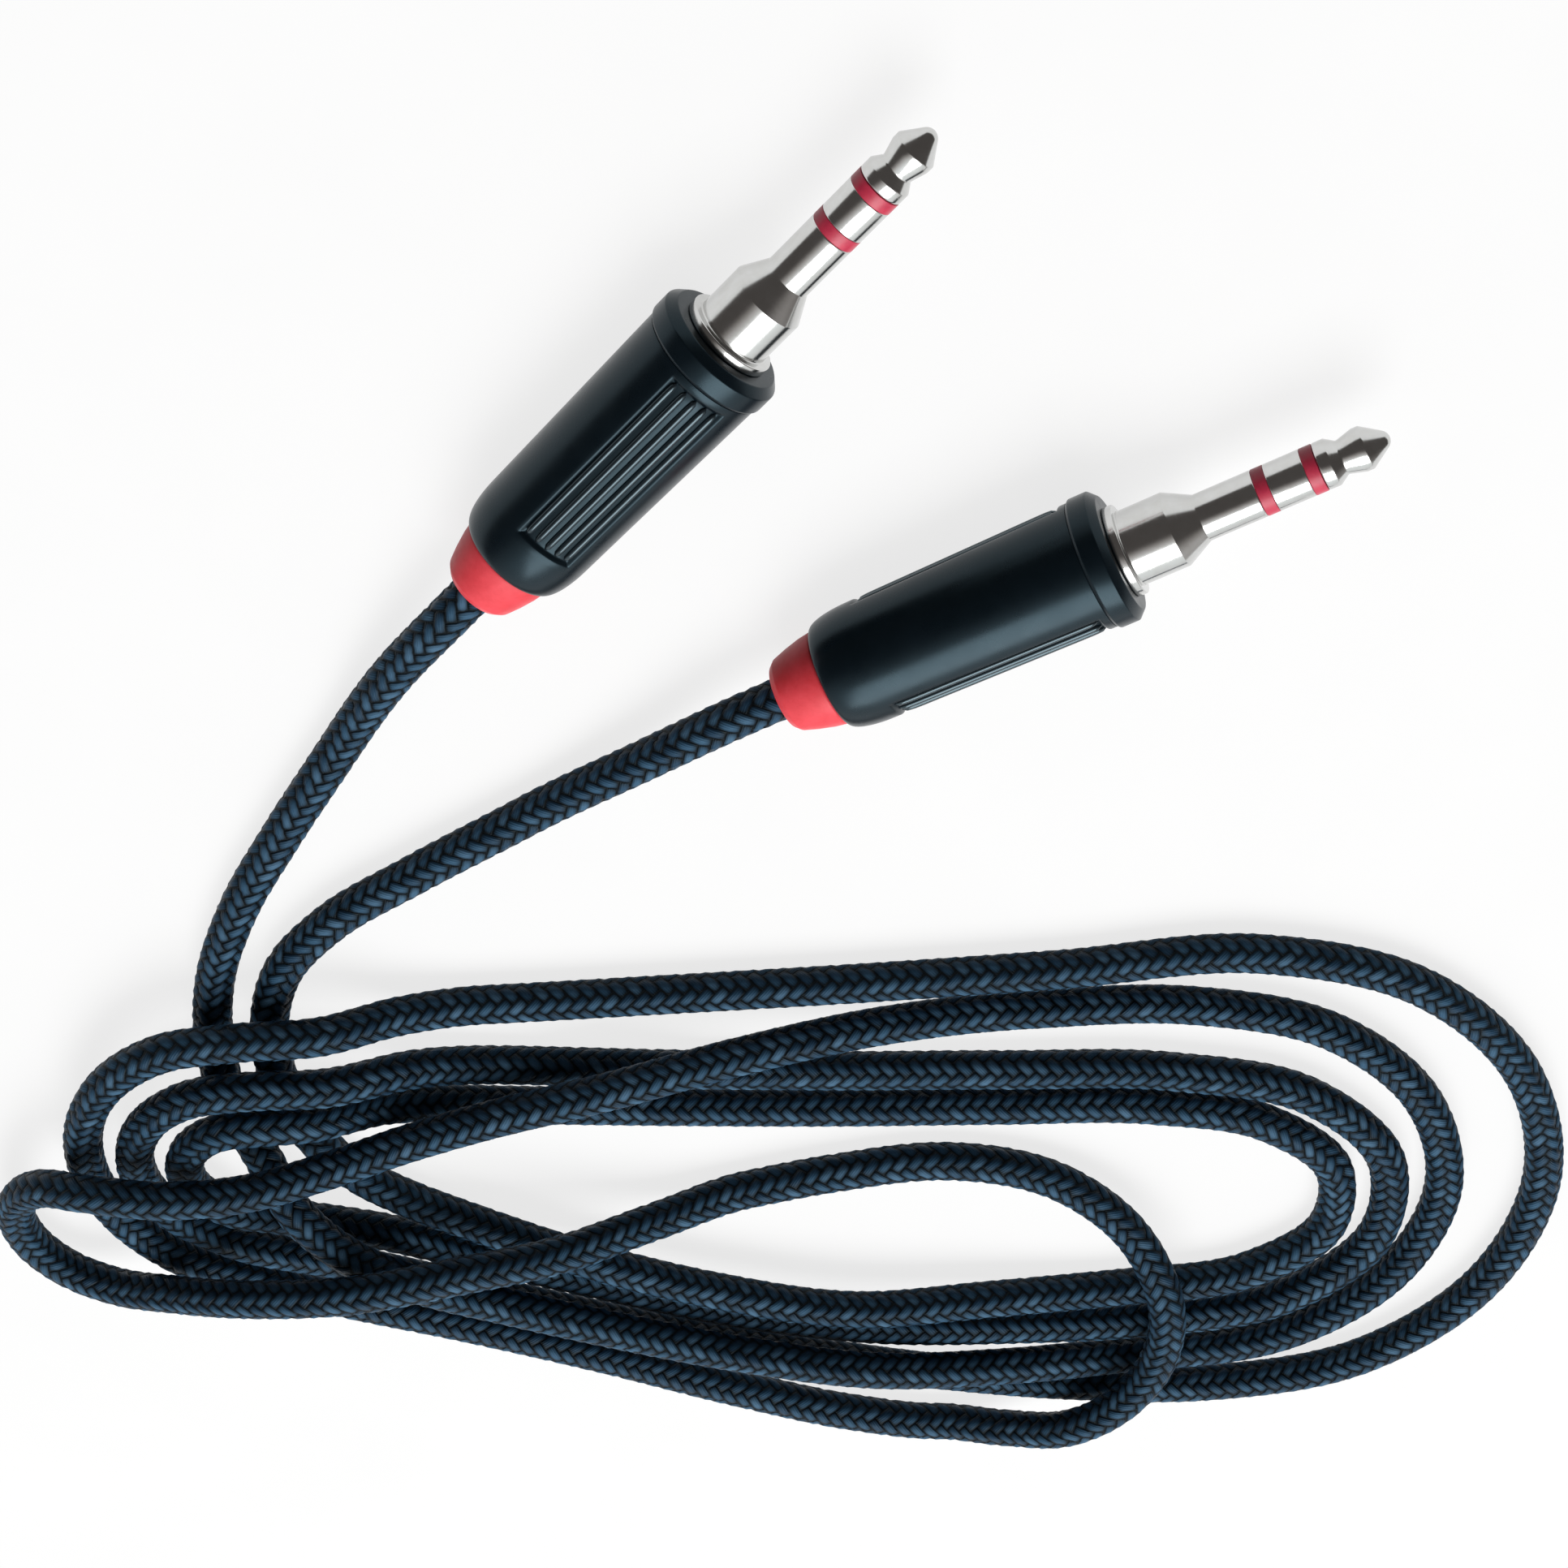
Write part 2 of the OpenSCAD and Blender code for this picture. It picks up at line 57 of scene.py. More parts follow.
# Cord. Two insulated conductors and a copper screen in a soft jacket, under a sleeve of 16
# nylon yarns braided two over, two under. It leaves each plug straight, drops to the
# surface and lies there in five long loops that cross each other in long low humps.
CORD_DIAMETER = 0.0032
CORD_INSIDE_PLUG = 0.0114

# Height of the cord's middle where it lies on the surface.
low = CORD_DIAMETER / 2

# Where each plug lies: the point where the cord goes in, the heading of its tip, its roll,
# and how far the grip panels are turned from that. It rests on the lip and the shoulder of
# its barrel, so that the tip rises by the angle it lies at.
LIE_ANGLE = math.radians(1.2837)
PLUGS = {
    "a": {"at": Vector((-0.031, -0.0118, 0.0043876)), "heading": 47.8, "roll": -25,
          "grip_turn": 27},
    "b": {"at": Vector((-0.009, -0.0211, 0.0043876)), "heading": 27.9, "roll": 75,
          "grip_turn": -24},
}
for plug in PLUGS.values():
    heading = math.radians(plug["heading"])
    plug["pointing"] = Vector((
        math.cos(heading) * math.cos(LIE_ANGLE),
        math.sin(heading) * math.cos(LIE_ANGLE),
        math.sin(LIE_ANGLE)))


def turn(cx, cy, rx, ry, start, end, steps, start_z, end_z):
    """Points of a turn on an ellipse, from one angle and height to another in even steps."""
    points = []
    for k in range(steps + 1):
        f = k / steps
        angle = math.radians(start + (end - start) * f)
        height = start_z + (end_z - start_z) * f * f * (3 - 2 * f)
        points.append((cx + rx * math.cos(angle), cy + ry * math.sin(angle), height))
    return points


def turn_at(cx, cy, rx, ry, marks):
    """Points of a turn on an ellipse at given pairs of angle and height."""
    return [
        (cx + rx * math.cos(math.radians(a)), cy + ry * math.sin(math.radians(a)), z)
        for a, z in marks]


a_at, a_pointing = PLUGS["a"]["at"], PLUGS["a"]["pointing"]
b_at, b_pointing = PLUGS["b"]["at"], PLUGS["b"]["pointing"]
lead_a = [
    a_at, a_at - CORD_DIAMETER * a_pointing, (-0.0379, -0.0201, 0.003),
    (-0.0428, -0.0278, low), (-0.048, -0.036, low), (-0.052, -0.043, low)]
entry_a = [
    (-0.0546, -0.05, low), (-0.0554, -0.0565, low), (-0.0548, -0.0625, low),
    (-0.0528, -0.068, 0.0022), (-0.0496, -0.0732, 0.0047), (-0.045, -0.0776, 0.0054),
    (-0.04, -0.0808, 0.005), (-0.033, -0.0834, 0.0048), (-0.023, -0.0865, 0.0048),
    (-0.013, -0.0892, 0.0048), (-0.001, -0.0913, 0.0048), (0.011, -0.0922, 0.0034)]
second_turn = turn(0.024, -0.0725, 0.0228, 0.0198, -90, 90, 6, low, low)
slanting_run = [
    (0.011, -0.0531, low), (-0.001, -0.0544, 0.0021), (-0.013, -0.056, 0.0042),
    (-0.023, -0.0584, 0.0055), (-0.034, -0.0618, 0.0056), (-0.04, -0.064, 0.0057),
    (-0.046, -0.0664, 0.006), (-0.053, -0.068, 0.0072), (-0.06, -0.0682, 0.0079)]
far_turn = turn_at(-0.0668, -0.0751, 0.0072, 0.0071, [
    (90, 0.0072), (120, 0.0056), (150, 0.004), (180, 0.0029), (210, 0.0024), (240, 0.0026),
    (270, 0.0035)])
crossing_run = [
    (-0.061, -0.0812, 0.0056), (-0.054, -0.0794, 0.008), (-0.045, -0.0778, 0.0091),
    (-0.036, -0.0766, 0.008), (-0.028, -0.0763, 0.0059), (-0.02, -0.0752, 0.003),
    (-0.012, -0.0728, low), (-0.005, -0.071, low)]
small_turn = turn_at(0.005, -0.0854, 0.019, 0.0158, [
    (90, low), (60, 0.00205), (35, 0.0034), (8, 0.0054), (-16, 0.0057), (-36, 0.0058),
    (-54, 0.0052), (-72, 0.0031), (-90, low)])
front_run = [
    (-0.003, -0.1, low), (-0.013, -0.097, low), (-0.025, -0.0927, low),
    (-0.037, -0.0888, low), (-0.047, -0.0859, low), (-0.0544, -0.0835, low)]
outer_left_turn = turn(-0.053, -0.0683, 0.0143, 0.0149, 235, 90, 6, low, 0.0055)
back_run = [
    (-0.046, -0.0532, 0.0049), (-0.04, -0.053, 0.0026), (-0.033, -0.0526, low),
    (-0.019, -0.0516, low), (-0.003, -0.0504, low), (0.013, -0.049, low)]
outer_turn = turn(0.029, -0.0718, 0.026, 0.0244, 90, -90, 6, low, low)
outer_run = [
    (0.017, -0.09615, low), (0.005, -0.0948, low), (-0.007, -0.0926, low),
    (-0.019, -0.0899, low), (-0.029, -0.087, low), (-0.039, -0.0838, low),
    (-0.047, -0.0813, low)]
middle_left_turn = turn(-0.0526, -0.0689, 0.0105, 0.0104, 245, 90, 6, low, 0.0055)
middle_run = [
    (-0.046, -0.0586, 0.0049), (-0.039, -0.0588, 0.0023), (-0.031, -0.059, low),
    (-0.019, -0.0594, low), (-0.005, -0.0596, low), (0.009, -0.0595, low)]
third_turn = turn(0.023, -0.0739, 0.0196, 0.0142, 90, -90, 5, low, low)
third_run = [
    (0.011, -0.089, low), (-0.001, -0.089, low), (-0.013, -0.0871, low),
    (-0.025, -0.0836, low), (-0.035, -0.0804, low), (-0.043, -0.0778, low)]
inner_left_turn = turn(-0.0521, -0.069, 0.0068, 0.0068, 270, 90, 6, low, 0.0057)
inner_run = [
    (-0.0476, -0.0624, 0.0049), (-0.042, -0.0629, 0.0022), (-0.035, -0.0632, low),
    (-0.021, -0.0635, low), (-0.005, -0.0636, low), (0.009, -0.0634, low)]
inner_turn = turn(0.0214, -0.0738, 0.0168, 0.0104, 90, -90, 5, low, low)
entry_b = [
    (0.009, -0.085, 0.0024), (-0.003, -0.0853, 0.00335), (-0.015, -0.083, 0.00335),
    (-0.027, -0.0792, 0.003), (-0.035, -0.0765, 0.002), (-0.041, -0.0738, low),
    (-0.0452, -0.0708, low), (-0.0486, -0.0662, low), (-0.0505, -0.0606, low),
    (-0.0507, -0.0544, low)]
lead_b = [
    (-0.049, -0.049, low), (-0.045, -0.0444, low), (-0.038, -0.0396, low),
    (-0.029, -0.034, low), (-0.0198, -0.028, 0.0028), b_at - CORD_DIAMETER * b_pointing,
    b_at]
free_route = [Vector(point) for point in (
    lead_a + entry_a + second_turn + slanting_run + far_turn + crossing_run + small_turn
    + front_run + outer_left_turn + back_run + outer_turn + outer_run + middle_left_turn
    + middle_run + third_turn + third_run + inner_left_turn + inner_run + inner_turn
    + entry_b + lead_b)]
route = (
    [a_at + CORD_INSIDE_PLUG * a_pointing] + free_route
    + [b_at + CORD_INSIDE_PLUG * b_pointing])


def slope(points, i):
    """Direction of the smooth curve through the points at point i, level on the surface."""
    if i == 0:
        return (points[1] - points[0]).normalized()
    if i == len(points) - 1:
        return (points[i] - points[i - 1]).normalized()
    back, ahead = points[i] - points[i - 1], points[i + 1] - points[i]
    n, m = back.length, ahead.length
    middle = (back * m / n + ahead * n / m) / (n + m)
    if points[i].z <= low:
        middle.z = 0
    return middle


slopes = [slope(route, i) for i in range(len(route))]
centreline = bpy.data.curves.new("cord_centreline", "CURVE")
centreline.dimensions = "3D"
centreline.resolution_u = 24
spline = centreline.splines.new("BEZIER")
spline.bezier_points.add(len(route) - 1)
for i, point in enumerate(spline.bezier_points):
    before = (route[i] - route[max(i - 1, 0)]).length
    after = (route[min(i + 1, len(route) - 1)] - route[i]).length
    point.handle_left_type = point.handle_right_type = "FREE"
    point.co = route[i]
    point.handle_left = route[i] - slopes[i] * before / 3
    point.handle_right = route[i] + slopes[i] * after / 3
cord_curve = bpy.data.objects.new("cord_centreline", centreline)
scene.collection.objects.link(cord_curve)


def add_node(tree, kind, inputs=None, **settings):
    """A new node with its settings, its inputs fed from sockets or set to plain values."""
    node = tree.nodes.new(kind)
    for name, value in settings.items():
        setattr(node, name, value)
    for key, value in (inputs or {}).items():
        if isinstance(value, bpy.types.NodeSocket):
            tree.links.new(value, node.inputs[key])
        else:
            node.inputs[key].default_value = value
    return node


def calc(tree, operation, *terms):
    """The result of one math node."""
    node = add_node(tree, "ShaderNodeMath", dict(enumerate(terms)), operation=operation)
    return node.outputs[0]


YARNS_EACH_WAY = 8
BRAID_LAY = 0.01


def braid(tree, around, along, yarns, lay):
    """Nodes for a braid of yarns two over, two under, with so many in each direction, which
    go round once in the length of the lay. Returns the height of the yarn on top and the
    place across it, both from 0 to 1, and a chance number for each length that shows."""
    across_both = calc(tree, "MULTIPLY_ADD", around, yarns, 0.25)
    climb = calc(tree, "DIVIDE", calc(tree, "MULTIPLY", along, yarns), lay)
    right = calc(tree, "ADD", across_both, climb)
    left = calc(tree, "SUBTRACT", across_both, climb)
    right_yarn, left_yarn = calc(tree, "FLOOR", right), calc(tree, "FLOOR", left)
    order = calc(tree, "FLOORED_MODULO", calc(tree, "ADD", right_yarn, left_yarn), 4.0)
    right_on_top = calc(tree, "LESS_THAN", order, 2.0)

    def top(of_right, of_left):
        difference = calc(tree, "SUBTRACT", of_right, of_left)
        return calc(tree, "MULTIPLY_ADD", difference, right_on_top, of_left)

    yarn = top(right_yarn, left_yarn)
    across = calc(tree, "FRACT", top(right, left))
    progress = calc(tree, "ADD", yarn, top(left, right))
    run = calc(tree, "FRACT", calc(tree, "MULTIPLY", progress, 0.5))
    arch = calc(tree, "MULTIPLY", calc(tree, "MULTIPLY", run, 4.0),
                calc(tree, "SUBTRACT", 1.0, run))
    crown = calc(tree, "MULTIPLY", calc(tree, "MULTIPLY", across, 4.0),
                 calc(tree, "SUBTRACT", 1.0, across))
    height = calc(tree, "MULTIPLY", calc(tree, "POWER", arch, 0.5),
                  calc(tree, "POWER", crown, 0.6))
    which = calc(tree, "MULTIPLY_ADD", right_on_top, 100.0,
                 calc(tree, "FLOORED_MODULO", yarn, yarns))
    turn_number = calc(tree, "FLOOR", calc(tree, "MULTIPLY", progress, 0.25))
    place = calc(tree, "MULTIPLY_ADD", turn_number, -4.0, calc(tree, "MULTIPLY", yarn, 2.0))
    key = add_node(tree, "ShaderNodeCombineXYZ", {"X": which, "Y": place})
    chance = add_node(tree, "ShaderNodeTexWhiteNoise", {"Vector": key.outputs[0]},
                      noise_dimensions="2D")
    return height, across, chance.outputs["Value"]


# The nylon is a deep navy, and no two lengths of yarn are quite alike. Its colour holds
# painted light: a painted highlight on top of each crossing, and painted shade, near black, in
# the hollows between them.
nylon = bpy.data.materials.new("braided_nylon")
nylon.use_nodes = True
tree = nylon.node_tree
shader = tree.nodes["Principled BSDF"]
shader.inputs["Specular IOR Level"].default_value = 0.14
shader.inputs["Specular Tint"].default_value = (0.75, 0.92, 1.0, 1)
shader.inputs["Sheen Weight"].default_value = 0.05
shader.inputs["Sheen Roughness"].default_value = 0.4
shader.inputs["Sheen Tint"].default_value = (0.45, 0.7, 1.0, 1)
uv = add_node(tree, "ShaderNodeUVMap", uv_map="UVMap")
place = add_node(tree, "ShaderNodeSeparateXYZ", {0: uv.outputs[0]})
height, across, chance = braid(
    tree, place.outputs["X"], place.outputs["Y"], YARNS_EACH_WAY, BRAID_LAY)
yarn_colour = add_node(tree, "ShaderNodeValToRGB", {"Fac": chance})
ramp = yarn_colour.color_ramp
ramp.elements[0].color = (0.0115, 0.031, 0.058, 1)
ramp.elements[1].color = (0.045, 0.096, 0.155, 1)
ramp.elements.new(0.7).color = (0.024, 0.063, 0.11, 1)
THREADS = 5
thread = calc(tree, "MULTIPLY_ADD",
              calc(tree, "SINE", calc(tree, "MULTIPLY", across, THREADS * math.tau)), 0.5, 0.5)
# Painted highlight and painted shade: the yarn colour is scaled up on the crowns of the yarns
# and down to near black in the hollows.
painted_shade_by_height = add_node(tree, "ShaderNodeMapRange", {
    "Value": height, "From Min": 0.36, "From Max": 0.95, "To Min": 0.04, "To Max": 1.6})
dark = add_node(tree, "ShaderNodeVectorMath", {
    0: yarn_colour.outputs[0], "Scale": painted_shade_by_height.outputs[0]}, operation="SCALE")
tree.links.new(dark.outputs[0], shader.inputs["Base Color"])
gloss = add_node(tree, "ShaderNodeMapRange", {
    "Value": chance, "To Min": 0.42, "To Max": 0.62})
tree.links.new(gloss.outputs[0], shader.inputs["Roughness"])
relief = calc(tree, "MULTIPLY_ADD", thread, 0.12, height)
bump = add_node(tree, "ShaderNodeBump", {
    "Height": relief, "Strength": 0.7, "Distance": 0.00022})
tree.links.new(bump.outputs[0], shader.inputs["Normal"])


def new_group(name, inputs):
    """Starts a group of geometry nodes that makes a mesh from the named inputs. Returns it,
    the sockets that the inputs give, and the value for each input by its identifier."""
    group = bpy.data.node_groups.new(name, "GeometryNodeTree")
    values = {}
    for label, kind, value in inputs:
        socket = group.interface.new_socket(label, in_out="INPUT", socket_type=kind)
        values[socket.identifier] = value
    group.interface.new_socket("Mesh", in_out="OUTPUT", socket_type="NodeSocketGeometry")
    return group, group.nodes.new("NodeGroupInput").outputs, values


def finish_group(group, geometry, material):
    """Makes the geometry real, gives it the material and puts it out of the group."""
    whole = add_node(group, "GeometryNodeRealizeInstances", {"Geometry": geometry})
    dressed = add_node(group, "GeometryNodeSetMaterial", {
        "Geometry": whole.outputs[0], "Material": material})
    group.links.new(dressed.outputs[0], group.nodes.new("NodeGroupOutput").inputs["Mesh"])


# The sleeve itself: a tube along the centreline, whose wall rises over each yarn.
sleeve, given, sleeve_values = new_group("braided_sleeve", [
    ("Curve", "NodeSocketGeometry", None), ("Diameter", "NodeSocketFloat", CORD_DIAMETER),
    ("Yarns", "NodeSocketInt", YARNS_EACH_WAY), ("Lay", "NodeSocketFloat", BRAID_LAY),
    ("Sides", "NodeSocketInt", 32), ("Ring Spacing", "NodeSocketFloat", 0.00048),
    ("Relief", "NodeSocketFloat", 0.0002), ("Material", "NodeSocketMaterial", nylon)])
rings = add_node(sleeve, "GeometryNodeResampleCurve", {
    "Curve": given["Curve"], "Length": given["Ring Spacing"]}, mode="LENGTH")
on_rings = sleeve.nodes.new("GeometryNodeCaptureAttribute")
on_rings.capture_items.new("FLOAT", "Along")
on_rings.capture_items.new("VECTOR", "Centre")
sleeve.links.new(rings.outputs[0], on_rings.inputs["Geometry"])
sleeve.links.new(
    sleeve.nodes.new("GeometryNodeSplineParameter").outputs["Length"],
    on_rings.inputs["Along"])
sleeve.links.new(
    sleeve.nodes.new("GeometryNodeInputPosition").outputs[0], on_rings.inputs["Centre"])
circle = add_node(sleeve, "GeometryNodeCurveArc", {
    "Resolution": calc(sleeve, "ADD", given["Sides"], 1.0),
    "Radius": calc(sleeve, "MULTIPLY", given["Diameter"], 0.5),
    "Start Angle": 0.0, "Sweep Angle": math.tau})
on_circle = sleeve.nodes.new("GeometryNodeCaptureAttribute")
on_circle.capture_items.new("FLOAT", "Around")
sleeve.links.new(circle.outputs[0], on_circle.inputs["Geometry"])
sleeve.links.new(
    sleeve.nodes.new("GeometryNodeSplineParameter").outputs["Factor"],
    on_circle.inputs["Around"])
tube = add_node(sleeve, "GeometryNodeCurveToMesh", {
    "Curve": on_rings.outputs["Geometry"], "Profile Curve": on_circle.outputs["Geometry"]})
around, along = on_circle.outputs["Around"], on_rings.outputs["Along"]
height = braid(sleeve, around, along, given["Yarns"], given["Lay"])[0]
MEAN_HEIGHT = 0.75
lift = calc(
    sleeve, "MULTIPLY", calc(sleeve, "SUBTRACT", height, MEAN_HEIGHT), given["Relief"])
outwards = add_node(sleeve, "ShaderNodeVectorMath", {
    0: sleeve.nodes.new("GeometryNodeInputPosition").outputs[0],
    1: on_rings.outputs["Centre"]}, operation="SUBTRACT")
outwards = add_node(
    sleeve, "ShaderNodeVectorMath", {0: outwards.outputs[0]}, operation="NORMALIZE")
offset = add_node(
    sleeve, "ShaderNodeVectorMath", {0: outwards.outputs[0], "Scale": lift}, operation="SCALE")
raised = add_node(sleeve, "GeometryNodeSetPosition", {
    "Geometry": tube.outputs[0], "Offset": offset.outputs[0]})
map_place = add_node(sleeve, "ShaderNodeCombineXYZ", {"X": around, "Y": along})
mapped = sleeve.nodes.new("GeometryNodeStoreNamedAttribute")
mapped.data_type, mapped.domain = "FLOAT2", "CORNER"
mapped.inputs["Name"].default_value = "UVMap"
sleeve.links.new(raised.outputs[0], mapped.inputs["Geometry"])
sleeve.links.new(map_place.outputs[0], mapped.inputs["Value"])
finish_group(sleeve, mapped.outputs[0], given["Material"])


def built(source, group, values, name):
    """A plain mesh object of what the group makes of the source object with these values."""
    modifier = source.modifiers.new(group.name, "NODES")
    modifier.node_group = group
    for identifier, value in values.items():
        if value is not None:
            modifier[identifier] = value
    bpy.context.view_layer.update()
    evaluated = source.evaluated_get(bpy.context.evaluated_depsgraph_get())
    mesh = bpy.data.meshes.new_from_object(evaluated)
    mesh.name = name
    source.modifiers.remove(modifier)
    bpy.data.objects.remove(source)
    piece = bpy.data.objects.new(name, mesh)
    scene.collection.objects.link(piece)
    return piece


def close_mesh(mesh):
    """Joins the seam, closes open ends, turns all faces outwards and shades them smoothly."""
    same_place = 1e-6
    shell = bmesh.new()
    shell.from_mesh(mesh)
    bmesh.ops.remove_doubles(shell, verts=shell.verts, dist=same_place)
    bmesh.ops.holes_fill(shell, edges=[e for e in shell.edges if e.is_boundary])
    bmesh.ops.recalc_face_normals(shell, faces=shell.faces)
    for face in shell.faces:
        face.smooth = True
    shell.to_mesh(mesh)
    shell.free()


cord = built(cord_curve, sleeve, sleeve_values, "braided_cord")
close_mesh(cord.data)


def on_curve(points, i, f):
    """Point of the smooth curve, a share f of the way from point i to the next."""
    span = (points[i + 1] - points[i]).length
    ease = f * f * (3 - 2 * f)
    bend = (1 - f) * slope(points, i) - f * slope(points, i + 1)
    return points[i] * (1 - ease) + points[i + 1] * ease + span * f * (1 - f) * bend


PATH_STEPS = 8
path = [
    on_curve(route, i, k / PATH_STEPS)
    for i in range(len(route) - 1) for k in range(PATH_STEPS)]
path.append(route[-1])
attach(cord, "root")
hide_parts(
    "cord_lead_a", "cord_coil", "cord_lead_b", "cord_end_a", "cord_end_b")


# Strain reliefs. A soft coral-red ring is moulded round the cord behind each barrel, with
# a spigot that the barrel grips. Its rear edge is rounded where the cord goes in.
RELIEF_LENGTH = 0.004
RELIEF_FRONT_RADIUS = 0.00368
RELIEF_BORE = 0.00162
SPIGOT_END = 0.007
SPIGOT_RADIUS = 0.0025


def rounded(outline, radius, steps=4):
    """The outline with its sharp corners rounded to the radius, or less on short sides."""
    dullest = math.radians(20)
    most_of_side = 0.4
    result = []
    count = len(outline)
    for i in range(count):
        corner = Vector(outline[i])
        back = Vector(outline[i - 1]) - corner
        ahead = Vector(outline[(i + 1) % count]) - corner
        turned_by = math.pi - back.angle(ahead)
        if corner.x == 0 or turned_by < dullest:
            result.append(tuple(corner))
            continue
        cut = min(radius * math.tan(turned_by / 2), most_of_side * back.length,
                  most_of_side * ahead.length)
        start, end = corner + back.normalized() * cut, corner + ahead.normalized() * cut
        for k in range(steps + 1):
            f = k / steps
            point = start * (1 - f) ** 2 + corner * 2 * f * (1 - f) + end * f * f
            result.append(tuple(point))
    return result


def turned(name, outline, place, angles=None, sink=None):
    """A solid turned about a plug's axis from a closed outline of pairs of radius and place.
    Its UV map holds the way round and the way along the outline, in metres. sink(angle,
    radius, place) takes wall away. The piece lies where the plug lies."""
    sides = 96
    angles = angles or [math.tau * k / sides for k in range(sides)]
    mean = sum(r for r, s in outline) / len(outline)
    shell = bmesh.new()
    uv = shell.loops.layers.uv.new("UVMap")
    travelled = [0.0]
    for start, end in zip(outline, outline[1:] + outline[:1]):
        travelled.append(travelled[-1] + math.dist(start, end))
    rings = []
    for r, s in outline:
        if r == 0:
            rings.append([shell.verts.new((0, 0, s))] * len(angles))
            continue
        rings.append([])
        for angle in angles:
            radius = r - sink(angle, r, s) if sink else r
            x, y = radius * math.cos(angle), radius * math.sin(angle)
            rings[-1].append(shell.verts.new((x, y, s)))
    for j in range(len(outline)):
        here, there = rings[j], rings[(j + 1) % len(outline)]
        for k in range(len(angles)):
            n = (k + 1) % len(angles)
            end = angles[n] if n else angles[0] + math.tau
            corners = {
                here[k]: (angles[k], travelled[j]), here[n]: (end, travelled[j]),
                there[n]: (end, travelled[j + 1]), there[k]: (angles[k], travelled[j + 1])}
            if len(corners) < 3:
                continue
            face = shell.faces.new(corners)
            face.smooth = True
            for loop in face.loops:
                angle, way = corners[loop.vert]
                loop[uv].uv = (angle * mean, way)
    bmesh.ops.recalc_face_normals(shell, faces=shell.faces)
    mesh = bpy.data.meshes.new(name)
    shell.to_mesh(mesh)
    shell.free()
    mesh.transform(place)
    piece = bpy.data.objects.new(name, mesh)
    scene.collection.objects.link(piece)
    shading = piece.modifiers.new("even_shading", "WEIGHTED_NORMAL")
    shading.weight = 100
    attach(piece, "root")
    return piece


for plug in PLUGS.values():
    plug["place"] = (
        Matrix.Translation(plug["at"])
        @ Matrix.Rotation(math.radians(plug["heading"]), 4, "Z")
        @ Matrix.Rotation(math.pi / 2 - LIE_ANGLE, 4, "Y")
        @ Matrix.Rotation(math.radians(plug["roll"]), 4, "Z"))


def new_material(name, **constants):
    """A material, its node tree and its shader, with plain numbers set on the shader."""
    material = bpy.data.materials.new(name)
    material.use_nodes = True
    shader = material.node_tree.nodes["Principled BSDF"]
    for key, value in constants.items():
        shader.inputs[key.replace("_", " ")].default_value = value
    return material, material.node_tree, shader


def mottled(tree, scale, low_colour, high_colour, detail=4.0):
    """A colour that drifts between two, in patches on the piece's own coordinates."""
    at = add_node(tree, "ShaderNodeTexCoord").outputs["Object"]
    noise = add_node(tree, "ShaderNodeTexNoise", {
        "Vector": at, "Scale": scale, "Detail": detail, "Roughness": 0.6})
    ramp = add_node(tree, "ShaderNodeValToRGB", {"Fac": noise.outputs["Fac"]})
    ramp.color_ramp.elements[0].position = 0.3
    ramp.color_ramp.elements[1].position = 0.7
    ramp.color_ramp.elements[0].color = (*low_colour, 1)
    ramp.color_ramp.elements[1].color = (*high_colour, 1)
    return ramp.outputs[0]


def grained(tree, shader, scale, strength, distance, rough_low, rough_high):
    """A fine moulded grain: bump from small noise, roughness from larger noise."""
    at = add_node(tree, "ShaderNodeTexCoord").outputs["Object"]
    fine = add_node(tree, "ShaderNodeTexNoise", {
        "Vector": at, "Scale": scale, "Detail": 3.0, "Roughness": 0.55})
    bump = add_node(tree, "ShaderNodeBump", {
        "Height": fine.outputs["Fac"], "Strength": strength, "Distance": distance})
    tree.links.new(bump.outputs[0], shader.inputs["Normal"])
    broad = add_node(tree, "ShaderNodeTexNoise", {
        "Vector": at, "Scale": scale / 20, "Detail": 5.0, "Roughness": 0.6})
    gloss = add_node(tree, "ShaderNodeMapRange", {
        "Value": broad.outputs["Fac"], "From Min": 0.3, "From Max": 0.7,
        "To Min": rough_low, "To Max": rough_high})
    tree.links.new(gloss.outputs[0], shader.inputs["Roughness"])


coral, tree, shader = new_material(
    "coral_red_rubber", Specular_IOR_Level=0.3, Subsurface_Weight=0.12,
    Subsurface_Scale=0.0006)
tree.links.new(
    mottled(tree, 700, (0.8, 0.05, 0.066), (0.92, 0.08, 0.105)),
    shader.inputs["Base Color"])
grained(tree, shader, 9000, 0.25, 0.00004, 0.36, 0.5)
relief_outline = rounded([
    (RELIEF_BORE, 0), (0.0024, 0), (0.00285, 0.0005), (0.0032, 0.0016), (0.0035, 0.0028),
    (RELIEF_FRONT_RADIUS, RELIEF_LENGTH), (SPIGOT_RADIUS, RELIEF_LENGTH),
    (SPIGOT_RADIUS, SPIGOT_END), (RELIEF_BORE, SPIGOT_END)], 0.0003)
for letter, plug in PLUGS.items():
    relief = turned(f"relief_ring_{letter}", relief_outline, plug["place"])
    relief.data.materials.append(coral)
    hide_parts(f"strain_relief_{letter}")


# Barrels. Each is one moulding in satin black plastic, with a rounded shoulder behind, a
# raised lip in front and two shallow grip panels on opposite sides, whose ribs are rubbed
# shiny.
BARREL_BACK = 0.004
BODY_BACK = 0.0072
LIP_BACK = 0.0248
LIP_RADIUS = 0.00495
BARREL_FRONT = 0.027
SHOULDER_RADIUS = 0.0038
BODY_BACK_RADIUS = 0.00455
BODY_FRONT_RADIUS = 0.00475
BORE_RADIUS = 0.00332
BORE_FRONT = 0.0252
FRONT_HOLE_RADIUS = 0.00292
REAR_HOLE_RADIUS = 0.00252
PANEL_BACK = 0.0077
PANEL_FRONT = 0.0243
PANEL_DEPTH = 0.0003
PANEL_EDGE = 0.0004
RIB_PITCH = 0.00085
RIBS = 5
PANEL_MARGIN = 0.0003
panel_half_width = RIBS / 2 * RIB_PITCH + PANEL_MARGIN
panel_centres = (0, math.pi)


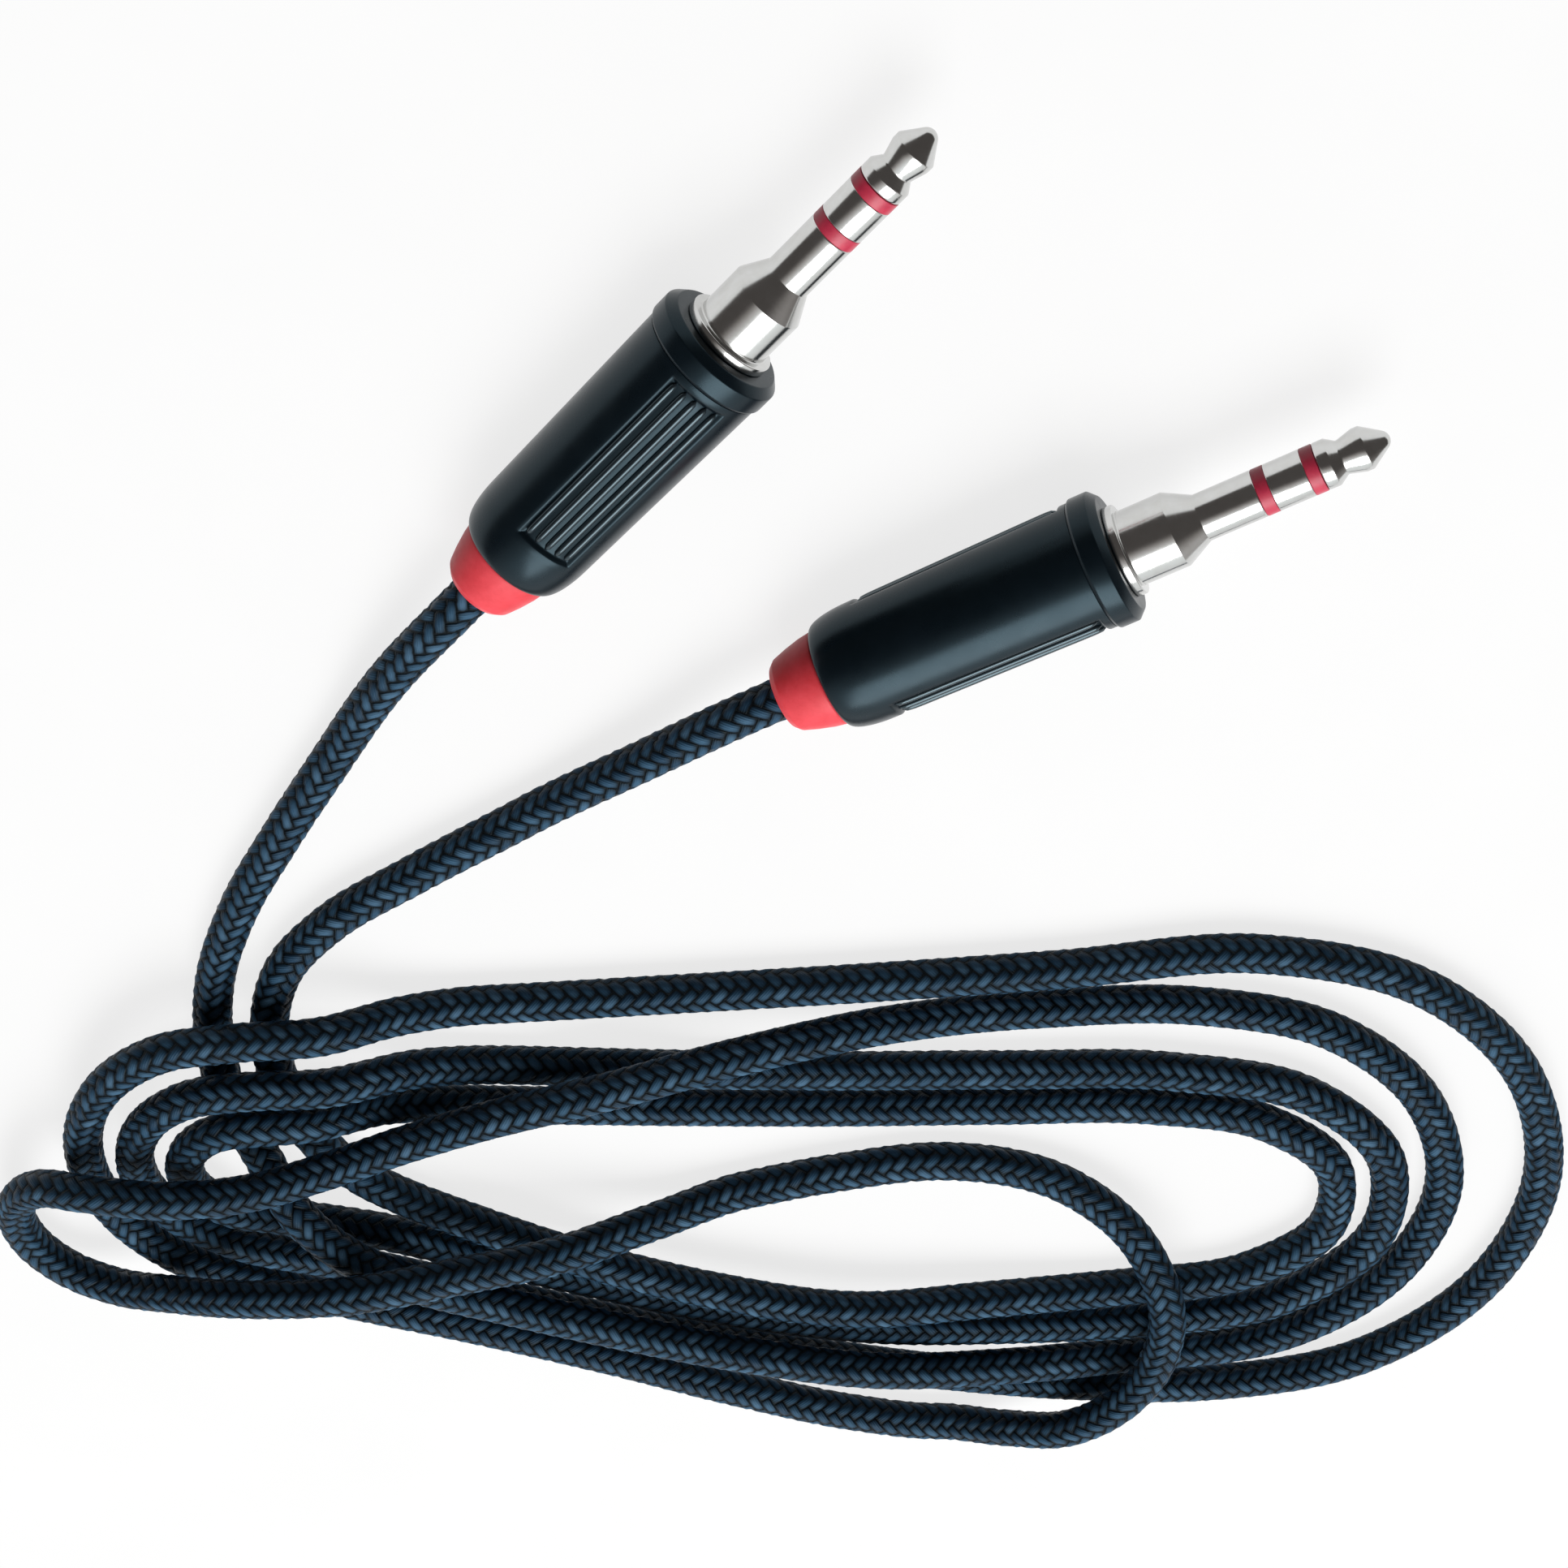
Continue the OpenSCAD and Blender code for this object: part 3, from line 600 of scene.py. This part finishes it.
def wall_radius(s):
    """Radius of the barrel's wall at a place along its body."""
    share = (s - BODY_BACK) / (LIP_BACK - BODY_BACK)
    return BODY_BACK_RADIUS + (BODY_FRONT_RADIUS - BODY_BACK_RADIUS) * share


def eased(value, width):
    """From 0 to 1 as the value goes from 0 to the width, with soft ends."""
    f = min(max(value / width, 0), 1)
    return f * f * (3 - 2 * f)


def panel_sink(angle, r, s):
    """How far the outside of the wall is sunk in the grip panels."""
    if r <= BORE_RADIUS:
        return 0
    beside = min(abs((angle - centre + math.pi) % math.tau - math.pi)
                 for centre in panel_centres) * wall_radius(s)
    inside = min(
        eased(panel_half_width - beside, PANEL_EDGE), eased(s - PANEL_BACK, PANEL_EDGE),
        eased(PANEL_FRONT - s, PANEL_EDGE))
    return PANEL_DEPTH * inside


# The mesh is finer at the panels' edges, so that they come out soft and even.
EDGE_STEPS = 5
BARREL_SIDES = 120
CLOSEST_ANGLES = 0.006
mean_radius = (BODY_BACK_RADIUS + BODY_FRONT_RADIUS) / 2
edge_angles = [
    (centre + side * (panel_half_width - PANEL_EDGE * k / EDGE_STEPS) / mean_radius)
    % math.tau
    for centre in panel_centres for side in (-1, 1) for k in range(EDGE_STEPS + 1)]
even_angles = [math.tau * k / BARREL_SIDES for k in range(BARREL_SIDES)]
barrel_angles = sorted(edge_angles + [
    angle for angle in even_angles
    if all(abs(angle - edge) > CLOSEST_ANGLES for edge in edge_angles)])
shoulder = []
for degrees in range(0, 91, 6):
    swung = math.radians(degrees)
    shoulder.append((
        SHOULDER_RADIUS + (BODY_BACK_RADIUS - SHOULDER_RADIUS) * math.sin(swung),
        BODY_BACK - (BODY_BACK - BARREL_BACK) * math.cos(swung)))
stations = [
    PANEL_BACK + PANEL_EDGE * k / EDGE_STEPS for k in range(EDGE_STEPS + 1)] + [
    PANEL_BACK + 0.0006 * k for k in range(1, 27)] + [
    PANEL_FRONT - PANEL_EDGE * k / EDGE_STEPS for k in range(EDGE_STEPS, -1, -1)]
lip = rounded([
    (wall_radius(0.02455), 0.02455), (wall_radius(LIP_BACK), LIP_BACK), (0.0047, LIP_BACK),
    (LIP_RADIUS, 0.02505), (LIP_RADIUS, 0.0264), (0.00435, BARREL_FRONT),
    (FRONT_HOLE_RADIUS, BARREL_FRONT), (FRONT_HOLE_RADIUS, BORE_FRONT),
    (BORE_RADIUS, BORE_FRONT), (BORE_RADIUS, SPIGOT_END), (REAR_HOLE_RADIUS, SPIGOT_END),
    (REAR_HOLE_RADIUS, BARREL_BACK)], 0.00018)
barrel_outline = shoulder + [(wall_radius(s), s) for s in stations] + lip

satin_black, tree, shader = new_material(
    "satin_black_plastic", Specular_IOR_Level=0.36, Specular_Tint=(0.55, 0.84, 1.0, 1.0))
tree.links.new(
    mottled(tree, 500, (0.0022, 0.005, 0.0078), (0.0038, 0.0075, 0.0115)),
    shader.inputs["Base Color"])
grained(tree, shader, 9000, 0.05, 0.00002, 0.25, 0.33)

rubbed_black, tree, shader = new_material(
    "rubbed_black_plastic", Specular_IOR_Level=0.9, Specular_Tint=(0.66, 0.89, 1.0, 1.0))
tree.links.new(
    mottled(tree, 900, (0.006, 0.0095, 0.013), (0.012, 0.017, 0.022)),
    shader.inputs["Base Color"])
grained(tree, shader, 12000, 0.04, 0.00001, 0.12, 0.2)

# Each rib is a long bar with blunt ends, bedded in the panel and flush with the barrel.
RIB_WIDTH = 0.00055
RIB_END_GAP = 0.00025
ribs, given, rib_values = new_group("grip_ribs", [
    ("Mesh", "NodeSocketGeometry", None), ("Ribs", "NodeSocketInt", RIBS),
    ("Pitch", "NodeSocketFloat", RIB_PITCH), ("Width", "NodeSocketFloat", RIB_WIDTH),
    ("Height", "NodeSocketFloat", PANEL_DEPTH),
    ("Length", "NodeSocketFloat", PANEL_FRONT - PANEL_BACK - 2 * RIB_END_GAP),
    ("Back Radius", "NodeSocketFloat", wall_radius(PANEL_BACK) - PANEL_DEPTH),
    ("Front Radius", "NodeSocketFloat", wall_radius(PANEL_FRONT) - PANEL_DEPTH),
    ("Middle", "NodeSocketFloat", (PANEL_BACK + PANEL_FRONT) / 2),
    ("Material", "NodeSocketMaterial", rubbed_black)])
bar = add_node(ribs, "GeometryNodeMeshCylinder", {
    "Vertices": 14, "Side Segments": 40, "Radius": 1.0, "Depth": given["Length"]})
at = add_node(ribs, "ShaderNodeSeparateXYZ", {
    0: ribs.nodes.new("GeometryNodeInputPosition").outputs[0]}).outputs
halfway = calc(ribs, "DIVIDE", calc(ribs, "MULTIPLY", at["Z"], 2.0), given["Length"])
END_BLUNTNESS = 24
narrowing = calc(ribs, "POWER", calc(ribs, "ABSOLUTE", halfway), END_BLUNTNESS)
taper = calc(ribs, "SQRT", calc(ribs, "SUBTRACT", 1.001, narrowing))
back_share = calc(ribs, "MULTIPLY_ADD", halfway, -0.5, 0.5)
radius_here = calc(
    ribs, "MULTIPLY_ADD", back_share,
    calc(ribs, "SUBTRACT", given["Back Radius"], given["Front Radius"]), given["Front Radius"])
rib_x = calc(ribs, "MULTIPLY_ADD", calc(ribs, "MULTIPLY", at["X"], taper), given["Height"],
             radius_here)
rib_y = calc(ribs, "MULTIPLY", calc(ribs, "MULTIPLY", at["Y"], taper),
             calc(ribs, "MULTIPLY", given["Width"], 0.5))
rib_z = calc(ribs, "ADD", at["Z"], given["Middle"])
shaped = add_node(ribs, "GeometryNodeSetPosition", {
    "Geometry": bar.outputs["Mesh"],
    "Position": add_node(ribs, "ShaderNodeCombineXYZ", {
        "X": rib_x, "Y": rib_y, "Z": rib_z}).outputs[0]})
index = ribs.nodes.new("GeometryNodeInputIndex").outputs[0]
number = calc(ribs, "FLOORED_MODULO", index, given["Ribs"])
middle_number = calc(ribs, "MULTIPLY", calc(ribs, "SUBTRACT", given["Ribs"], 1.0), 0.5)
sideways = calc(
    ribs, "MULTIPLY", calc(ribs, "SUBTRACT", number, middle_number), given["Pitch"])
swing = calc(ribs, "DIVIDE", sideways, given["Back Radius"])
panel = calc(ribs, "FLOOR", calc(ribs, "DIVIDE", index, given["Ribs"]))
angle = calc(ribs, "MULTIPLY_ADD", panel, math.pi, swing)
points = add_node(ribs, "GeometryNodeMeshLine", {
    "Count": calc(ribs, "MULTIPLY", given["Ribs"], 2.0), "Offset": (0, 0, 0)})
spread = add_node(ribs, "GeometryNodeInstanceOnPoints", {
    "Points": points.outputs[0], "Instance": shaped.outputs[0],
    "Rotation": add_node(ribs, "ShaderNodeCombineXYZ", {"Z": angle}).outputs[0]})
finish_group(ribs, spread.outputs[0], given["Material"])

for letter, plug in PLUGS.items():
    barrel_place = plug["place"] @ Matrix.Rotation(math.radians(plug["grip_turn"]), 4, "Z")
    barrel = turned(
        f"barrel_shell_{letter}", barrel_outline, barrel_place, barrel_angles, panel_sink)
    barrel.data.materials.append(satin_black)
    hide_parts(f"barrel_{letter}")
    blank = bpy.data.objects.new("rib_blank", bpy.data.meshes.new("rib_blank"))
    scene.collection.objects.link(blank)
    grip = built(blank, ribs, rib_values, f"grip_ribs_{letter}")
    close_mesh(grip.data)
    grip.data.transform(barrel_place)
    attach(grip, "root")


# Contacts. Sleeve, ring and tip are turned from brass and plated with bright nickel. The
# sleeve has a flange and a collar in front of the barrel, then a cone down to the shaft.
SHAFT_RADIUS = 0.00175
SHAFT_BACK = 0.0332
SLEEVE_FRONT = 0.03755
RING_BACK = 0.03845
RING_FRONT = 0.04115
TIP_BACK = 0.04205
TIP_FRONT = 0.0472
SHANK_RADIUS = 0.0029
SLEEVE_BORE = 0.00132
FLANGE_RADIUS = 0.0034
FLANGE_FRONT = 0.0277
COLLAR_RADIUS = 0.0028
COLLAR_FRONT = 0.0312
RING_BORE = 0.00077
RING_TUBE_RADIUS = 0.001
ROD_RADIUS = 0.0005
NECK_RADIUS = 0.00125
BULB_RADIUS = 0.0016
NOSE_RADIUS = 0.00075

nickel, tree, shader = new_material("bright_nickel", Metallic=1.0)
tree.links.new(
    mottled(tree, 900, (0.6, 0.6, 0.585), (0.65, 0.655, 0.65)), shader.inputs["Base Color"])
uv = add_node(tree, "ShaderNodeUVMap", uv_map="UVMap")
stretch = add_node(tree, "ShaderNodeMapping", {
    "Vector": uv.outputs[0], "Scale": (300, 30000, 1)})
marks = add_node(tree, "ShaderNodeTexNoise", {
    "Vector": stretch.outputs[0], "Scale": 1.0, "Detail": 2.0})
bump = add_node(tree, "ShaderNodeBump", {
    "Height": marks.outputs["Fac"], "Strength": 0.25, "Distance": 0.000012})
tree.links.new(bump.outputs[0], shader.inputs["Normal"])
gloss = add_node(tree, "ShaderNodeMapRange", {
    "Value": marks.outputs["Fac"], "From Min": 0.3, "From Max": 0.7,
    "To Min": 0.12, "To Max": 0.2})
tree.links.new(gloss.outputs[0], shader.inputs["Roughness"])

sleeve_outline = rounded([
    (SLEEVE_BORE, BORE_FRONT), (SHANK_RADIUS, BORE_FRONT), (SHANK_RADIUS, BARREL_FRONT),
    (FLANGE_RADIUS, BARREL_FRONT), (FLANGE_RADIUS, FLANGE_FRONT),
    (COLLAR_RADIUS, FLANGE_FRONT), (COLLAR_RADIUS, COLLAR_FRONT), (SHAFT_RADIUS, SHAFT_BACK),
    (SHAFT_RADIUS, SLEEVE_FRONT), (SLEEVE_BORE, SLEEVE_FRONT)], 0.00012)
ring_outline = rounded([
    (RING_BORE, 0.0222), (RING_TUBE_RADIUS, 0.0222), (RING_TUBE_RADIUS, RING_BACK),
    (SHAFT_RADIUS, RING_BACK), (SHAFT_RADIUS, RING_FRONT), (RING_BORE, RING_FRONT)], 0.00008)
nose = []
for degrees in range(35, 90, 9):
    swung = math.radians(degrees)
    nose.append((
        NOSE_RADIUS * math.cos(swung), TIP_FRONT - NOSE_RADIUS * (1 - math.sin(swung))))
tip_outline = rounded([
    (0, 0.0192), (ROD_RADIUS, 0.0192), (ROD_RADIUS, TIP_BACK), (SHAFT_RADIUS, TIP_BACK),
    (SHAFT_RADIUS, 0.04295), (NECK_RADIUS, 0.0437), (BULB_RADIUS, 0.04495),
    (BULB_RADIUS, 0.04545)] + nose + [(0, TIP_FRONT)], 0.0002)
for letter, plug in PLUGS.items():
    for piece, outline in [
            ("sleeve", sleeve_outline), ("ring", ring_outline), ("tip", tip_outline)]:
        contact = turned(f"{piece}_turning_{letter}", outline, plug["place"])
        contact.data.materials.append(nickel)
        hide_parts(f"{piece}_contact_{letter}")


# Insulators. Two crimson bands part the contacts. Each is the end of a tube of moulded
# plastic that runs back inside the plug round the next contact's rod.
crimson, tree, shader = new_material(
    "crimson_plastic", Specular_IOR_Level=0.5, Subsurface_Weight=0.08,
    Subsurface_Scale=0.0004)
tree.links.new(
    mottled(tree, 1500, (0.56, 0.028, 0.075), (0.66, 0.045, 0.095)),
    shader.inputs["Base Color"])
grained(tree, shader, 15000, 0.2, 0.00002, 0.3, 0.42)
for letter, plug in PLUGS.items():
    for piece, inner_r, outer_r, back, band_back, band_front in [
            ("ring", 0.00102, 0.0013, 0.0237, SLEEVE_FRONT, RING_BACK),
            ("tip", 0.00052, 0.00075, 0.0207, RING_FRONT, TIP_BACK)]:
        band_outline = rounded([
            (inner_r, back), (outer_r, back), (outer_r, band_back),
            (SHAFT_RADIUS, band_back), (SHAFT_RADIUS, band_front),
            (inner_r, band_front)], 0.00004)
        band = turned(f"{piece}_band_{letter}", band_outline, plug["place"])
        band.data.materials.append(crimson)
        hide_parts(f"{piece}_insulator_{letter}")


# Inner pieces. Core, bush, clamp and wires are closed in by the barrel, and keep their
# shapes: a moulded nylon core, a paper bush, a tinned brass clamp and copper wires.
def dress(piece, material):
    """Gives both plugs' pieces of this name the material."""
    for letter in PLUGS:
        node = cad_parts[f"{piece}_{letter}"]
        node.data.materials.clear()
        node.data.materials.append(material)


inner_finishes = [
    ("milky_nylon", "inner_core", (0.68, 0.67, 0.62), (0.76, 0.75, 0.71), 4000, 0.4, 0.0),
    ("tan_paper_board", "rear_bush", (0.42, 0.3, 0.17), (0.55, 0.42, 0.27), 6000, 0.6, 0.0),
    ("tinned_brass", "ground_clamp", (0.6, 0.5, 0.3), (0.74, 0.66, 0.46), 3000, 0.28, 1.0),
    ("white_wire_cover", "left_conductor", (0.7, 0.7, 0.69), (0.8, 0.8, 0.79), 5000, 0.38,
     0.0),
    ("red_wire_cover", "right_conductor", (0.5, 0.03, 0.025), (0.62, 0.05, 0.04), 5000, 0.38,
     0.0),
    ("bare_copper", "shield_tail", (0.62, 0.3, 0.16), (0.8, 0.46, 0.28), 8000, 0.3, 1.0)]
for name, piece, first, second, grain, roughness, metallic in inner_finishes:
    material, tree, shader = new_material(name, Metallic=metallic)
    tree.links.new(mottled(tree, grain / 8, first, second), shader.inputs["Base Color"])
    grained(tree, shader, grain, 0.3, 0.00003, roughness - 0.06, roughness + 0.08)
    dress(piece, material)


# Studio. A pale table top, one soft lamp above the front of the pile, and a room that is
# white at its horizon and in front, and dark overhead and behind the plugs.
FLOOR_RADIUS = 4
FLOOR_GLOW = 0.785
FADE_START = 0.25
FADE_END = 1.2
floor = bpy.data.objects.new("table_top", bpy.data.meshes.new("table_top"))
disc = bmesh.new()
bmesh.ops.create_circle(disc, cap_ends=True, radius=FLOOR_RADIUS, segments=128)
disc.to_mesh(floor.data)
disc.free()
scene.collection.objects.link(floor)
paper, tree, shader = new_material("white_paper", Roughness=0.9, Specular_IOR_Level=0.0)
tree.links.new(
    mottled(tree, 60, (0.2, 0.2, 0.2), (0.21, 0.21, 0.21)),
    shader.inputs["Base Color"])


def seen_by(tree):
    """1 for what the camera sees, straight, in a gloss or through glass, and 0 for what
    lights the object."""
    rays = tree.nodes.new("ShaderNodeLightPath").outputs
    through = calc(tree, "MAXIMUM", rays["Is Glossy Ray"], rays["Is Transmission Ray"])
    return calc(tree, "MAXIMUM", rays["Is Camera Ray"], through)


# The floor glows up to white where it is seen, and fades to plain white far out.
seen = seen_by(tree)
at = add_node(tree, "ShaderNodeTexCoord").outputs["Object"]
far = add_node(tree, "ShaderNodeVectorMath", {0: at}, operation="LENGTH").outputs["Value"]
fade = add_node(tree, "ShaderNodeMapRange", {
    "Value": far, "From Min": FADE_START, "From Max": FADE_END},
    interpolation_type="SMOOTHSTEP")
glow = add_node(tree, "ShaderNodeEmission", {
    "Color": (1, 1, 1, 1), "Strength": calc(tree, "MULTIPLY", seen, FLOOR_GLOW)})
lifted = add_node(tree, "ShaderNodeAddShader", {0: shader.outputs[0], 1: glow.outputs[0]})
white = add_node(tree, "ShaderNodeEmission", {"Color": (1, 1, 1, 1), "Strength": 1.0})
blend = add_node(tree, "ShaderNodeMixShader", {
    0: calc(tree, "MULTIPLY", seen, fade.outputs[0]), 1: lifted.outputs[0],
    2: white.outputs[0]})
tree.links.new(blend.outputs[0], tree.nodes["Material Output"].inputs["Surface"])
floor.data.materials.append(paper)

lamp = bpy.data.objects.new("soft_lamp", bpy.data.lights.new("soft_lamp", "AREA"))
lamp.data.size = 0.55
lamp.data.energy = 4.6
lamp.location = (0.08, -0.42, 0.65)
aim = Vector((0, -0.05, 0)) - lamp.location
lamp.rotation_euler = aim.to_track_quat("-Z", "Y").to_euler()
scene.collection.objects.link(lamp)

room = bpy.data.worlds.new("pale_room")
room.use_nodes = True
scene.world = room
tree = room.node_tree
way = add_node(tree, "ShaderNodeTexCoord").outputs["Generated"]
front = add_node(tree, "ShaderNodeVectorMath", {
    0: way, 1: (0.0, -0.8, 0.6)}, operation="DOT_PRODUCT").outputs["Value"]
bright = add_node(tree, "ShaderNodeMapRange", {
    "Value": front, "From Min": 0.3, "From Max": 0.95, "To Min": 0.08, "To Max": 1.0},
    interpolation_type="SMOOTHSTEP")
up = add_node(tree, "ShaderNodeSeparateXYZ", {0: way}).outputs["Z"]
band = add_node(tree, "ShaderNodeMapRange", {
    "Value": up, "From Min": 0.03, "From Max": 0.12, "To Min": 1.0, "To Max": 0.0},
    interpolation_type="SMOOTHSTEP")
strength = calc(tree, "MAXIMUM", bright.outputs[0],
                calc(tree, "MULTIPLY", band.outputs[0], seen_by(tree)))
tree.links.new(strength, tree.nodes["Background"].inputs["Strength"])
tone = add_node(tree, "ShaderNodeValToRGB", {"Fac": strength})
tone.color_ramp.elements[0].color = (1, 0.9, 0.85, 1)
tone.color_ramp.elements[1].color = (0.97, 1, 1, 1)
tree.links.new(tone.outputs[0], tree.nodes["Background"].inputs["Color"])

scene.view_settings.view_transform = "Standard"
